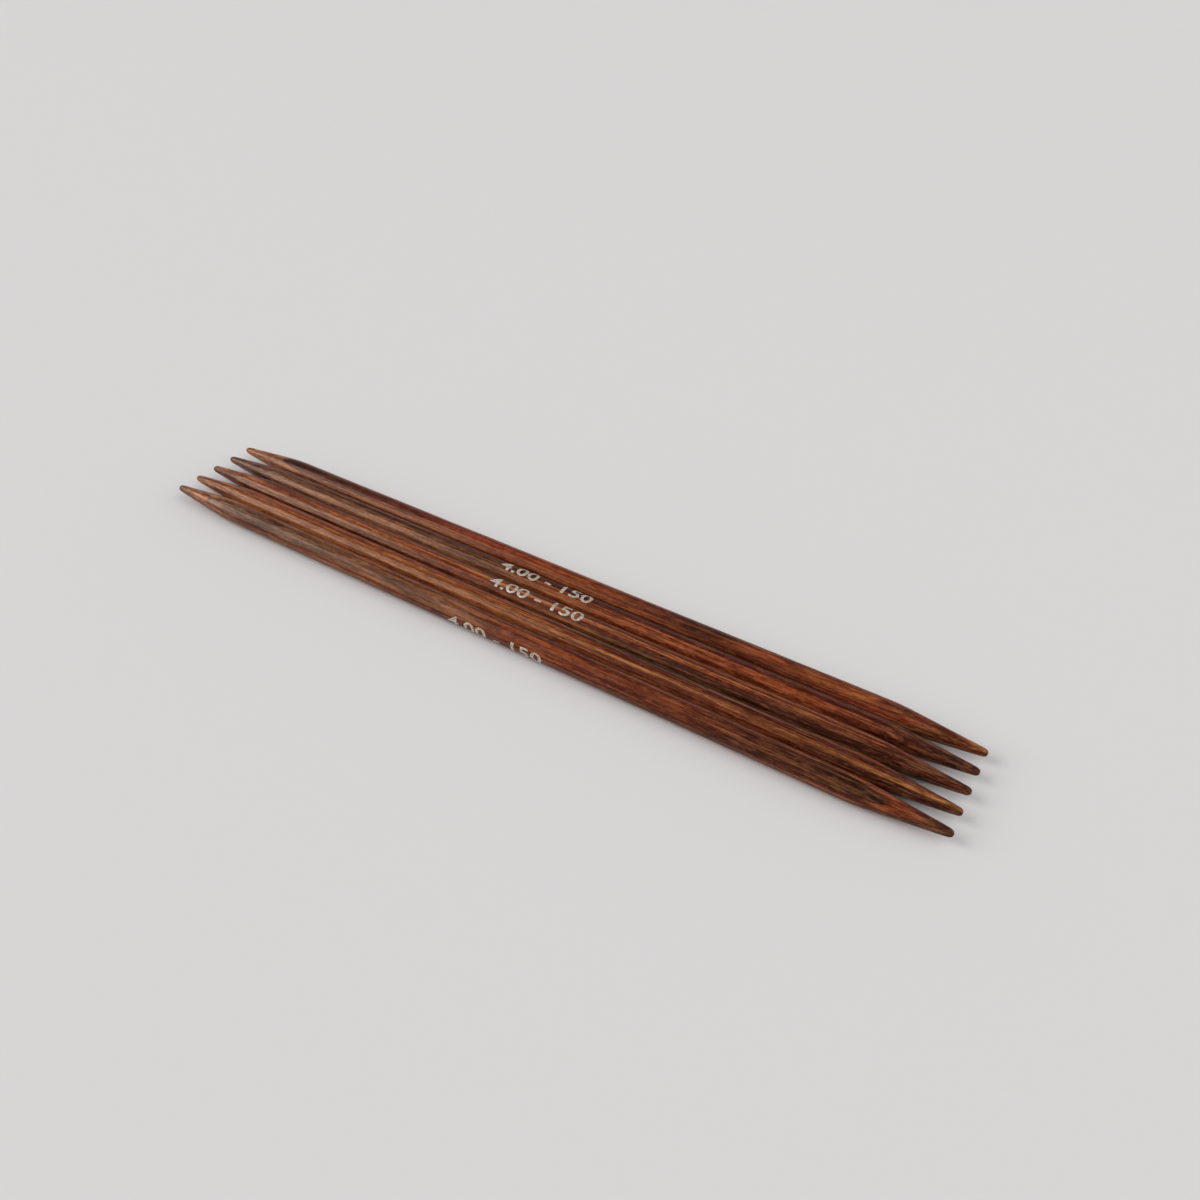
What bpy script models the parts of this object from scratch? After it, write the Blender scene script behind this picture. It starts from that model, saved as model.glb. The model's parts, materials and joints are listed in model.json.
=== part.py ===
"""Builds a set of five double-pointed wooden knitting needles laid side by side.

Each needle is turned from a strip of laminated board, so it is a stack of dyed wood plies
that are held together by thin glue lines. Every ply is a solid of its own: the turned needle
cut to one layer of the board. Lengths are in metres and angles in degrees. The needles lie
along the x axis on a table at z = 0, and needle 1 is the one at the front, on the -y side.
"""
import math
from dataclasses import dataclass

import bpy

# Driving dimensions of one needle
NEEDLE_LENGTH = 0.150
SHAFT_DIAMETER = 0.0040
TAPER_LENGTH = 0.0156
SHOULDER_LENGTH = 0.0040
TIP_DIAMETER = 0.0012
TIP_ROUND_LENGTH = 0.0010
TIP_FLAT_DIAMETER = 0.0003

# The laminated board that the needles are turned from. Its plies are this many to one shaft
# diameter, and an edge ply under this share of a whole one is left joined to the next.
PLIES_PER_DIAMETER = 6
THINNEST_EDGE_SHARE = 0.4
GLUE_LINE = 0.00003

# The row of needles on the table
SIDE_GAP = 0.0002

# How finely the round shapes are faceted
SHAFT_SIDES = 24
SHOULDER_STEPS = 4
TIP_ROUND_STEPS = 3

# Slab cutters reach this far past the needle on every side
CUTTER_MARGIN = 0.002

# Dyed veneers, as linear red, green and blue
DYES = {
    "umber": (0.018, 0.007, 0.004),
    "maroon": (0.070, 0.017, 0.010),
    "chestnut": (0.205, 0.042, 0.018),
    "orange": (0.305, 0.095, 0.027),
    "ochre": (0.310, 0.150, 0.040),
    "tan": (0.370, 0.175, 0.075),
    "ash": (0.205, 0.130, 0.080),
}


@dataclass(frozen=True)
class Needle:
    """One needle of the row.

    Attributes:
        name: Name of the needle, which its plies' names start with.
        ply_turn: Angle of the board's normal from straight up towards the front.
        board_shift: Height of a glue line over the needle's axis, as a share of one ply.
        dyes: Dye of each ply, from the underside of the board upwards.
    """

    name: str
    ply_turn: float
    board_shift: float
    dyes: tuple[str, ...]


NEEDLES = (
    Needle("needle_1", 34.0, 0.25, ("maroon", "tan", "chestnut", "umber", "orange", "ash")),
    Needle("needle_2", -50.0, 0.0, ("umber", "maroon", "chestnut", "tan", "maroon", "ash")),
    Needle("needle_3", -42.0, 0.3, ("umber", "maroon", "umber", "chestnut", "orange", "tan")),
    Needle("needle_4", 44.0, -0.45, ("maroon", "tan", "chestnut", "ash", "chestnut", "umber", "orange")),
    Needle("needle_5", 12.0, 0.58, ("umber", "ochre", "maroon", "ash", "umber", "tan", "maroon")),
)


def clear_scene() -> None:
    """Removes every object that is already in the file."""
    for item in list(bpy.data.objects):
        bpy.data.objects.remove(item, do_unlink=True)


def new_collection(name: str) -> bpy.types.Collection:
    """Adds a collection to the scene.

    Args:
        name: Name of the collection.

    Returns:
        The new, empty collection.
    """
    group = bpy.data.collections.new(name)
    bpy.context.scene.collection.children.link(group)
    return group


def curve_points(start, corner, end, steps: int) -> list[tuple[float, float]]:
    """Rounds a corner of the profile with a smooth curve.

    Args:
        start: First point, as distance from the tip and radius.
        corner: The sharp corner that the curve stays inside.
        end: Last point of the curve.
        steps: Number of straight steps along the curve.

    Returns:
        The points of the curve, with both of its ends.
    """
    points = []
    for index in range(steps + 1):
        share = index / steps
        first = (1 - share) ** 2
        middle = 2 * share * (1 - share)
        last = share ** 2
        distance = first * start[0] + middle * corner[0] + last * end[0]
        radius = first * start[1] + middle * corner[1] + last * end[1]
        points.append((distance, radius))
    return points


def point_profile() -> list[tuple[float, float]]:
    """Draws one pointed end, from the tip to the start of the full shaft.

    Returns:
        Distances from the tip, each with the radius there.
    """
    shaft_radius = SHAFT_DIAMETER / 2
    corner_radius = TIP_DIAMETER / 2
    cone_length = TAPER_LENGTH - SHOULDER_LENGTH / 2
    slope = (shaft_radius - corner_radius) / cone_length

    def cone(distance: float) -> tuple[float, float]:
        return distance, corner_radius + slope * distance

    tip = curve_points((0.0, TIP_FLAT_DIAMETER / 2), cone(0.0), cone(TIP_ROUND_LENGTH), TIP_ROUND_STEPS)
    shoulder = curve_points(
        cone(cone_length - SHOULDER_LENGTH / 2),
        cone(cone_length),
        (TAPER_LENGTH, shaft_radius),
        SHOULDER_STEPS,
    )
    return tip + shoulder


def needle_profile() -> list[tuple[float, float]]:
    """Draws the whole needle's half outline, from the -x tip to the +x tip.

    Returns:
        Places along the axis, each with the radius there.
    """
    half = NEEDLE_LENGTH / 2
    point = point_profile()
    left = [(distance - half, radius) for distance, radius in point]
    right = [(half - distance, radius) for distance, radius in reversed(point)]
    return [(-half, 0.0)] + left + right + [(half, 0.0)]


def profile_mesh(name: str) -> bpy.types.Mesh:
    """Makes the half outline as a chain of edges, half a facet round from straight down.

    Args:
        name: Name of the mesh.

    Returns:
        The mesh, ready to be turned about the x axis.
    """
    half_facet = math.pi / SHAFT_SIDES
    points = [
        (place, radius * math.sin(half_facet), -radius * math.cos(half_facet))
        for place, radius in needle_profile()
    ]
    edges = [(index, index + 1) for index in range(len(points) - 1)]
    mesh = bpy.data.meshes.new(name)
    mesh.from_pydata(points, edges, [])
    return mesh


def glue_lines(needle: Needle) -> list[float]:
    """Finds the glue lines that run through a needle.

    Args:
        needle: The needle that is cut.

    Returns:
        Heights of the glue lines over the needle's axis, along the board's normal.
    """
    pitch = SHAFT_DIAMETER / PLIES_PER_DIAMETER
    reach = SHAFT_DIAMETER / 2 - THINNEST_EDGE_SHARE * pitch
    steps = range(-PLIES_PER_DIAMETER, PLIES_PER_DIAMETER + 1)
    heights = [(needle.board_shift + step) * pitch for step in steps]
    return [height for height in heights if abs(height) <= reach]


def wood(name: str, dye: str) -> bpy.types.Material:
    """Makes the lacquered wood of one ply.

    Args:
        name: Name of the material.
        dye: Name of the veneer's dye.

    Returns:
        The material.
    """
    material = bpy.data.materials.new(name)
    material.use_nodes = True
    shader = material.node_tree.nodes["Principled BSDF"]
    shader.inputs["Base Color"].default_value = (*DYES[dye], 1.0)
    shader.inputs["Roughness"].default_value = 0.42
    material.diffuse_color = (*DYES[dye], 1.0)
    return material


def slab_cutter(name, needle, centre, low, high, group) -> bpy.types.Object:
    """Makes the block that leaves one layer of the board.

    Args:
        name: Name of the cutter.
        needle: The needle that is cut.
        centre: Middle of the needle's axis.
        low: Height of the layer's underside over the axis, along the board's normal.
        high: Height of the layer's top.
        group: Collection for the cutters.

    Returns:
        The cutter object.
    """
    turn = math.radians(needle.ply_turn)
    middle = (low + high) / 2
    place = (centre[0], centre[1] - middle * math.sin(turn), centre[2] + middle * math.cos(turn))
    bpy.ops.mesh.primitive_cube_add(size=1.0, location=place, rotation=(turn, 0.0, 0.0))
    cutter = bpy.context.object
    cutter.name = name
    length = NEEDLE_LENGTH + 2 * CUTTER_MARGIN
    width = SHAFT_DIAMETER + 2 * CUTTER_MARGIN
    cutter.scale = (length, width, high - low)
    for owner in list(cutter.users_collection):
        owner.objects.unlink(cutter)
    group.objects.link(cutter)
    cutter.hide_render = True
    cutter.display_type = "WIRE"
    return cutter


def turned_ply(name, dye, cutter, axis, group) -> bpy.types.Object:
    """Turns the needle's outline and keeps the layer that the cutter holds.

    Args:
        name: Name of the ply.
        dye: Name of the veneer's dye.
        cutter: Block of the layer.
        axis: Empty on the needle's axis, which carries the ply.
        group: Collection for the parts.

    Returns:
        The ply object.
    """
    ply = bpy.data.objects.new(name, profile_mesh(name))
    group.objects.link(ply)
    ply.parent = axis
    ply.data.materials.append(wood(name + "_wood", dye))
    turning = ply.modifiers.new("turning", "SCREW")
    turning.axis = "X"
    turning.angle = math.tau
    turning.steps = SHAFT_SIDES
    turning.render_steps = SHAFT_SIDES
    turning.use_merge_vertices = True
    turning.merge_threshold = 0.000001
    turning.use_smooth_shade = False
    layer = ply.modifiers.new("layer", "BOOLEAN")
    layer.operation = "INTERSECT"
    layer.solver = "EXACT"
    layer.object = cutter
    return ply


def build_needle(needle: Needle, centre, parts, cutters) -> None:
    """Builds one needle, ply by ply, on an empty at the middle of its axis.

    Args:
        needle: The needle to build.
        centre: Middle of its axis.
        parts: Collection for the plies.
        cutters: Collection for the cutters.
    """
    axis = bpy.data.objects.new(needle.name + "_axis", None)
    axis.location = centre
    axis.empty_display_size = SHAFT_DIAMETER
    parts.objects.link(axis)
    outside = SHAFT_DIAMETER / 2 + CUTTER_MARGIN
    lines = glue_lines(needle)
    lows = [-outside] + [height + GLUE_LINE / 2 for height in lines]
    highs = [height - GLUE_LINE / 2 for height in lines] + [outside]
    for index, (low, high) in enumerate(zip(lows, highs)):
        name = f"{needle.name}_ply_{index + 1}"
        cutter = slab_cutter(name + "_layer", needle, centre, low, high, cutters)
        turned_ply(name, needle.dyes[index % len(needle.dyes)], cutter, axis, parts)


def main() -> None:
    """Lays the five needles side by side, each resting on one facet."""
    clear_scene()
    parts = new_collection("knitting_needles")
    cutters = new_collection("cutters")
    axis_height = SHAFT_DIAMETER / 2 * math.cos(math.pi / SHAFT_SIDES)
    spacing = SHAFT_DIAMETER + SIDE_GAP
    for index, needle in enumerate(NEEDLES):
        across = (index - (len(NEEDLES) - 1) / 2) * spacing
        build_needle(needle, (0.0, across, axis_height), parts, cutters)


main()
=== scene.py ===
"""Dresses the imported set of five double-pointed knitting needles and sets up its picture.

Every ply of the laminated wood becomes a smooth lofted piece of its own, with a dyed and
lacquered veneer finish. Three needles carry a printed size mark. Lengths are in metres.
"""
from __future__ import annotations

import json
import logging
import math
from dataclasses import dataclass
from enum import Enum

import bmesh
import bpy
import numpy as np
from mathutils import Matrix, Vector

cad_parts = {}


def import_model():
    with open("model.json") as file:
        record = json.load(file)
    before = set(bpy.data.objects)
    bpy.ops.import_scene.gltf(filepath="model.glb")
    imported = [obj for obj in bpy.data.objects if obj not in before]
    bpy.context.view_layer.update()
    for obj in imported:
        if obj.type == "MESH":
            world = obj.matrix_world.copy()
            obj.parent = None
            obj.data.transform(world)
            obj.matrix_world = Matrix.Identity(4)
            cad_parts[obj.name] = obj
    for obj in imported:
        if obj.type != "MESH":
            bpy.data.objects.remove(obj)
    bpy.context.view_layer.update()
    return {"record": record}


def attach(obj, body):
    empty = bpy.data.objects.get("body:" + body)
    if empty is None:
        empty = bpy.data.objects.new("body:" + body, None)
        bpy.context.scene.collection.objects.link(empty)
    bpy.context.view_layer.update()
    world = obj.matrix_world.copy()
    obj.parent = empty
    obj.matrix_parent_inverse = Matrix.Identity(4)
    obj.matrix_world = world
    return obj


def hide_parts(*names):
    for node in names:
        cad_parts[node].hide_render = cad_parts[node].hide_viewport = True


LOG = logging.getLogger("needles")
Socket = bpy.types.NodeSocket
Triple = tuple[float, float, float]
Color = tuple[float, float, float, float]

# The display's colour curve: a straight start and then a power
FULL_LEVEL = 255
STRAIGHT_END = 0.04045
STRAIGHT_SLOPE = 12.92
CURVE_OFFSET = 0.055
CURVE_POWER = 2.4

# A noise texture's values lie on both sides of this one
NOISE_MIDDLE = 0.5


def linear(red: int, green: int, blue: int) -> Color:
    """Turns a display colour into scene colour.

    Args:
        red: Red from 0 to 255.
        green: Green from 0 to 255.
        blue: Blue from 0 to 255.

    Returns:
        Linear red, green and blue, with an alpha of 1.
    """
    parts = []
    for level in (red, green, blue):
        share = level / FULL_LEVEL
        curved = ((share + CURVE_OFFSET) / (1 + CURVE_OFFSET)) ** CURVE_POWER
        parts.append(share / STRAIGHT_SLOPE if share <= STRAIGHT_END else curved)
    return (parts[0], parts[1], parts[2], 1.0)


class Dye(Enum):
    """Colours of the dyed veneers."""

    SOOT = linear(36, 9, 3)
    UMBER = linear(66, 22, 9)
    MAROON = linear(84, 23, 11)
    CHESTNUT = linear(101, 38, 16)
    RUSSET = linear(126, 43, 20)
    ORANGE = linear(130, 56, 21)
    AMBER = linear(142, 75, 34)
    OCHRE = linear(150, 94, 46)
    TAN = linear(162, 102, 66)
    ASH = linear(127, 81, 54)
    PEWTER = linear(112, 80, 61)
    OLIVE = linear(82, 45, 22)


@dataclass(frozen=True)
class Pattern:
    """A noise pattern.

    Attributes:
        rates: Waves per metre along x, y and z.
        detail: Number of finer layers.
        roughness: Strength of the finer layers.
        warp: Distortion of the pattern.
    """

    rates: Triple
    detail: float
    roughness: float
    warp: float = 0.0


class Grain(Enum):
    """Noise patterns of the wood, along the grain, across the ply and through it."""

    FLAME = Pattern((230.0, 800.0, 900.0), 3.0, 0.6, 1.0)
    EDGE = Pattern((11.0, 1500.0, 3000.0), 3.0, 0.62)
    FACE = Pattern((42.0, 2300.0, 900.0), 4.0, 0.65, 0.3)
    MOTTLE = Pattern((700.0, 1700.0, 1700.0), 2.0, 0.6, 0.6)
    FINE = Pattern((330.0, 4400.0, 4400.0), 3.0, 0.7)
    PORE = Pattern((280.0, 4600.0, 4600.0), 2.0, 0.5)


class Control(Enum):
    """Inputs of the grain that set how strong its marks are."""

    STREAKS = "Streaks"
    FIGURE = "Figure"
    PORES = "Pores"
    # Stain of the glue lines, and the darkening at the tips, which is partly end-grain stain and partly
    # painted shade
    STAIN_AND_SHADE = "Stain And Shade"


class Tone(Enum):
    """Colours that the grain lays over a dye."""

    DARK = "dark"
    LIGHT = "light"


@dataclass(frozen=True)
class Stroke:
    """Part of the grain that makes the dye darker or lighter.

    Attributes:
        grain: The pattern that it follows.
        start: Noise value at which it starts.
        full: Noise value from which it is at its strongest.
        share: Share of its tone where it is strongest.
        control: The input that scales it.
        tone: The tone that it lays over the dye.
    """

    grain: Grain
    start: float
    full: float
    share: float
    control: Control
    tone: Tone


STROKES = (
    Stroke(Grain.FLAME, 0.52, 0.38, 1.0, Control.FIGURE, Tone.DARK),
    Stroke(Grain.FLAME, 0.52, 0.66, 1.0, Control.FIGURE, Tone.LIGHT),
    Stroke(Grain.EDGE, 0.49, 0.39, 1.0, Control.STREAKS, Tone.DARK),
    Stroke(Grain.EDGE, 0.52, 0.62, 1.0, Control.STREAKS, Tone.LIGHT),
    Stroke(Grain.FACE, 0.49, 0.38, 0.9, Control.STREAKS, Tone.DARK),
    Stroke(Grain.FACE, 0.53, 0.64, 0.9, Control.STREAKS, Tone.LIGHT),
    Stroke(Grain.MOTTLE, 0.50, 0.36, 0.45, Control.STREAKS, Tone.DARK),
    Stroke(Grain.MOTTLE, 0.52, 0.66, 0.35, Control.STREAKS, Tone.LIGHT),
    Stroke(Grain.FINE, 0.49, 0.38, 0.7, Control.STREAKS, Tone.DARK),
    Stroke(Grain.FINE, 0.53, 0.66, 0.6, Control.STREAKS, Tone.LIGHT),
    Stroke(Grain.PORE, 0.58, 0.68, 1.0, Control.PORES, Tone.DARK),
)


class NodeSheet:
    """Adds nodes to one tree and joins them.

    Attributes:
        mix_inputs: Numbers of a Mix node's sockets for the factor and the two colours.
        mix_output: Number of its socket for the mixed colour.
    """

    mix_inputs: tuple[int, int, int] = (0, 6, 7)
    mix_output: int = 2

    def __init__(self, tree: bpy.types.NodeTree) -> None:
        """Keeps the tree that the nodes go into."""
        self.tree = tree

    def add(self, kind: str, values: dict[str, object] | None = None, **settings: object) -> bpy.types.Node:
        """Adds a node.

        Args:
            kind: Blender's name for the node type.
            values: Sockets or plain values for its inputs, by name.
            **settings: Properties to set on the node.

        Returns:
            The new node.
        """
        node = self.tree.nodes.new(kind)
        for key, value in settings.items():
            setattr(node, key, value)
        for title, value in (values or {}).items():
            self.feed(node.inputs[title], value)
        return node

    def feed(self, target: Socket, value: object) -> None:
        """Joins a socket to an input, or sets the input to a plain value.

        Args:
            target: The input.
            value: The socket or the value.
        """
        if isinstance(value, Socket):
            self.tree.links.new(value, target)
        else:
            target.default_value = value

    def math(self, operation: str, *values: object) -> Socket:
        """Adds a Math node.

        Args:
            operation: Name of the operation.
            *values: Sockets or numbers for its inputs.

        Returns:
            The result socket.
        """
        node = self.add("ShaderNodeMath", operation=operation)
        for target, value in zip(node.inputs, values):
            self.feed(target, value)
        return node.outputs[0]

    def plus(self, first: object, second: object) -> Socket:
        """Adds two numbers."""
        return self.math("ADD", first, second)

    def minus(self, first: object, second: object) -> Socket:
        """Takes the second number from the first."""
        return self.math("SUBTRACT", first, second)

    def times(self, first: object, second: object) -> Socket:
        """Multiplies two numbers."""
        return self.math("MULTIPLY", first, second)

    def over(self, first: object, second: object) -> Socket:
        """Divides the first number by the second."""
        return self.math("DIVIDE", first, second)

    def spread(self, value: object, low: float, high: float, first: object, last: object) -> Socket:
        """Maps a value from low and high to first and last, and holds it there beyond them."""
        ranges = {"From Min": low, "From Max": high, "To Min": first, "To Max": last}
        return self.add("ShaderNodeMapRange", {"Value": value, **ranges}, clamp=True).outputs[0]

    def vector(self, x: object, y: object, z: object) -> Socket:
        """Joins three numbers into a vector."""
        return self.add("ShaderNodeCombineXYZ", {"X": x, "Y": y, "Z": z}).outputs[0]

    def split(self, vector: Socket) -> tuple[Socket, Socket, Socket]:
        """Takes a vector apart into three numbers."""
        return tuple(self.add("ShaderNodeSeparateXYZ", {"Vector": vector}).outputs)

    def mix(self, factor: object, first: object, second: object, blend: str = "MIX") -> Socket:
        """Mixes two colours.

        Args:
            factor: Share of the second colour.
            first: First colour.
            second: Second colour.
            blend: Name of the blend mode.

        Returns:
            The mixed colour's socket.
        """
        node = self.add("ShaderNodeMix", data_type="RGBA", blend_type=blend)
        for number, value in zip(self.mix_inputs, (factor, first, second)):
            self.feed(node.inputs[number], value)
        return node.outputs[self.mix_output]

    def noise(self, pattern: Pattern, spot: tuple[object, object, object], seed: object) -> Socket:
        """Adds a noise texture.

        Args:
            pattern: The pattern to draw.
            spot: Place in metres, as three numbers.
            seed: Number that picks the noise.

        Returns:
            The noise value's socket.
        """
        place = self.vector(*[self.times(part, rate) for part, rate in zip(spot, pattern.rates)])
        values = {"Vector": place, "W": seed, "Scale": 1.0, "Detail": pattern.detail}
        values |= {"Roughness": pattern.roughness, "Distortion": pattern.warp}
        return self.add("ShaderNodeTexNoise", values, noise_dimensions="4D").outputs[0]


class GroupSheet(NodeSheet):
    """Starts a node group with named sockets and adds nodes to it.

    Attributes:
        given: The group's inputs by name.
        leave: The node that takes the group's outputs.
    """

    def __init__(self, name: str, kind: str, inputs: dict[str, str], outputs: dict[str, str]) -> None:
        """Makes the group.

        Args:
            name: Name of the group.
            kind: Blender's name for the tree type.
            inputs: Names of the inputs, each with its socket type.
            outputs: Names of the outputs, each with its socket type.
        """
        super().__init__(bpy.data.node_groups.new(name, kind))
        for direction, titles in (("INPUT", inputs), ("OUTPUT", outputs)):
            for title, sort in titles.items():
                self.tree.interface.new_socket(title, in_out=direction, socket_type="NodeSocket" + sort)
        entry = self.add("NodeGroupInput")
        self.given = {socket.name: socket for socket in entry.outputs if socket.name}
        self.leave = self.add("NodeGroupOutput")

    def put_out(self, title: str, value: Socket) -> None:
        """Joins a socket to one of the group's outputs."""
        self.feed(self.leave.inputs[title], value)


class GeometryTree(GroupSheet):
    """Geometry Nodes tree with named sizes, which ends in real geometry with a material."""

    def __init__(self, name: str, sizes: tuple[str, ...]) -> None:
        """Makes the tree, with a number input for each of the sizes."""
        inputs = {"Geometry": "Geometry", **{title: "Float" for title in sizes}, "Material": "Material"}
        super().__init__(name, "GeometryNodeTree", inputs, {"Geometry": "Geometry"})

    def finished(self, geometry: Socket, weld: float) -> Socket:
        """Takes the tree's last steps: welding, real instances and the material.

        Args:
            geometry: The geometry.
            weld: Distance under which points are joined.

        Returns:
            The finished geometry's socket.
        """
        merged = self.add("GeometryNodeMergeByDistance", {"Geometry": geometry, "Distance": weld})
        real = self.add("GeometryNodeRealizeInstances", {"Geometry": merged.outputs["Geometry"]})
        values = {"Geometry": real.outputs["Geometry"], "Material": self.given["Material"]}
        return self.add("GeometryNodeSetMaterial", values).outputs["Geometry"]


def grown(name: str, tree: bpy.types.NodeTree, values: dict[str, object],
          mesh: bpy.types.Mesh) -> bpy.types.Object:
    """Runs a Geometry Nodes tree and keeps its result as a plain mesh.

    Args:
        name: Name of the piece.
        tree: The tree to run.
        values: Values of the tree's named inputs.
        mesh: Mesh that the tree starts from.

    Returns:
        An object at the origin whose place is in its mesh.
    """
    piece = bpy.data.objects.new(name, mesh)
    bpy.context.scene.collection.objects.link(piece)
    modifier = piece.modifiers.new(tree.name, "NODES")
    modifier.node_group = tree
    for item in tree.interface.items_tree:
        if item.item_type == "SOCKET" and item.in_out == "INPUT" and item.name in values:
            modifier[item.identifier] = values[item.name]
    graph = bpy.context.evaluated_depsgraph_get()
    result = bpy.data.meshes.new_from_object(piece.evaluated_get(graph))
    piece.modifiers.clear()
    piece.data = result
    result.name = name
    bpy.data.meshes.remove(mesh)
    return piece


def new_material(name: str) -> tuple[bpy.types.Material, NodeSheet, bpy.types.Node]:
    """Starts a material.

    Args:
        name: Name of the material.

    Returns:
        The material, the sheet to add nodes with and its Principled BSDF node.
    """
    material = bpy.data.materials.new(name)
    material.use_nodes = True
    return material, NodeSheet(material.node_tree), material.node_tree.nodes["Principled BSDF"]


def read(items: bpy.types.bpy_prop_collection, key: str, width: int, kind: type) -> np.ndarray:
    """Reads one property of every item into an array.

    Args:
        items: The items.
        key: Name of the property.
        width: How many numbers the property holds.
        kind: Number type of the array.

    Returns:
        The numbers, one after another.
    """
    values = np.zeros(len(items) * width, dtype=kind)
    items.foreach_get(key, values)
    return values


@dataclass(frozen=True)
class NeedleForm:
    """Shape that all five needles share, and the board that they are turned from.

    Attributes:
        length: Length from tip to tip.
        diameter: Diameter of the shaft.
        taper_length: Length of one pointed end.
        shoulder_length: Length of the curve from the cone into the shaft.
        tip_diameter: Diameter of the cone where it would meet the tip's end.
        tip_round_length: Length of the rounding at the tip.
        tip_flat_diameter: Diameter of the flat at the very tip.
        side_gap: Gap between neighbouring needles.
        plies_per_diameter: Number of whole plies to one shaft diameter.
        thinnest_edge_share: Share of a ply under which an edge ply stays joined to the next.
        glue_line: Gap between neighbouring plies.
        facets: Number of sides of the solid shaft, which rests on one of them.
        search_steps: Number of halvings in the search for a radius.
    """

    length: float = 0.150
    diameter: float = 0.0040
    taper_length: float = 0.0156
    shoulder_length: float = 0.0040
    tip_diameter: float = 0.0012
    tip_round_length: float = 0.0010
    tip_flat_diameter: float = 0.0003
    side_gap: float = 0.0002
    plies_per_diameter: int = 6
    thinnest_edge_share: float = 0.4
    glue_line: float = 0.00003
    facets: int = 24
    search_steps: int = 60

    @property
    def axis_height(self) -> float:
        """Height of a needle's axis over the table."""
        return self.diameter / 2 * math.cos(math.pi / self.facets)

    @property
    def shaft_half(self) -> float:
        """Half the length of the full-width shaft."""
        return self.length / 2 - self.taper_length

    def radius(self, distance: float) -> float:
        """Radius of a needle.

        Args:
            distance: Distance from the nearer tip.

        Returns:
            The radius there.
        """
        full = self.diameter / 2
        corner = self.tip_diameter / 2
        cone_length = self.taper_length - self.shoulder_length / 2
        slope = (full - corner) / cone_length
        ease_from = cone_length - self.shoulder_length / 2
        if distance >= self.taper_length:
            return full
        if distance < self.tip_round_length:
            share = math.sqrt(max(distance, 0.0) / self.tip_round_length)
            end = corner + slope * self.tip_round_length
            flat = self.tip_flat_diameter / 2
            return (1 - share) ** 2 * flat + 2 * share * (1 - share) * corner + share ** 2 * end
        if distance < ease_from:
            return corner + slope * distance
        share = (distance - ease_from) / self.shoulder_length
        start = corner + slope * ease_from
        return (1 - share) ** 2 * start + (2 * share * (1 - share) + share ** 2) * full

    def distance(self, radius: float) -> float:
        """Finds how far from the tip a needle reaches a radius.

        Args:
            radius: The radius to find.

        Returns:
            Distance from the tip, which is 0 for a radius inside the tip's flat.
        """
        low, high = 0.0, self.taper_length
        if radius <= self.radius(0.0):
            return 0.0
        for _ in range(self.search_steps):
            middle = (low + high) / 2
            low, high = (middle, high) if self.radius(middle) < radius else (low, middle)
        return high

    def glue_lines(self, shift: float) -> list[float]:
        """Finds the glue lines through a needle.

        Args:
            shift: Height of a glue line over the axis, as a share of one ply.

        Returns:
            Heights of the glue lines over the axis, along the board's normal.
        """
        pitch = self.diameter / self.plies_per_diameter
        reach = self.diameter / 2 - self.thinnest_edge_share * pitch
        steps = range(-self.plies_per_diameter, self.plies_per_diameter + 1)
        return [(shift + step) * pitch for step in steps if abs((shift + step) * pitch) <= reach]


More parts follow.
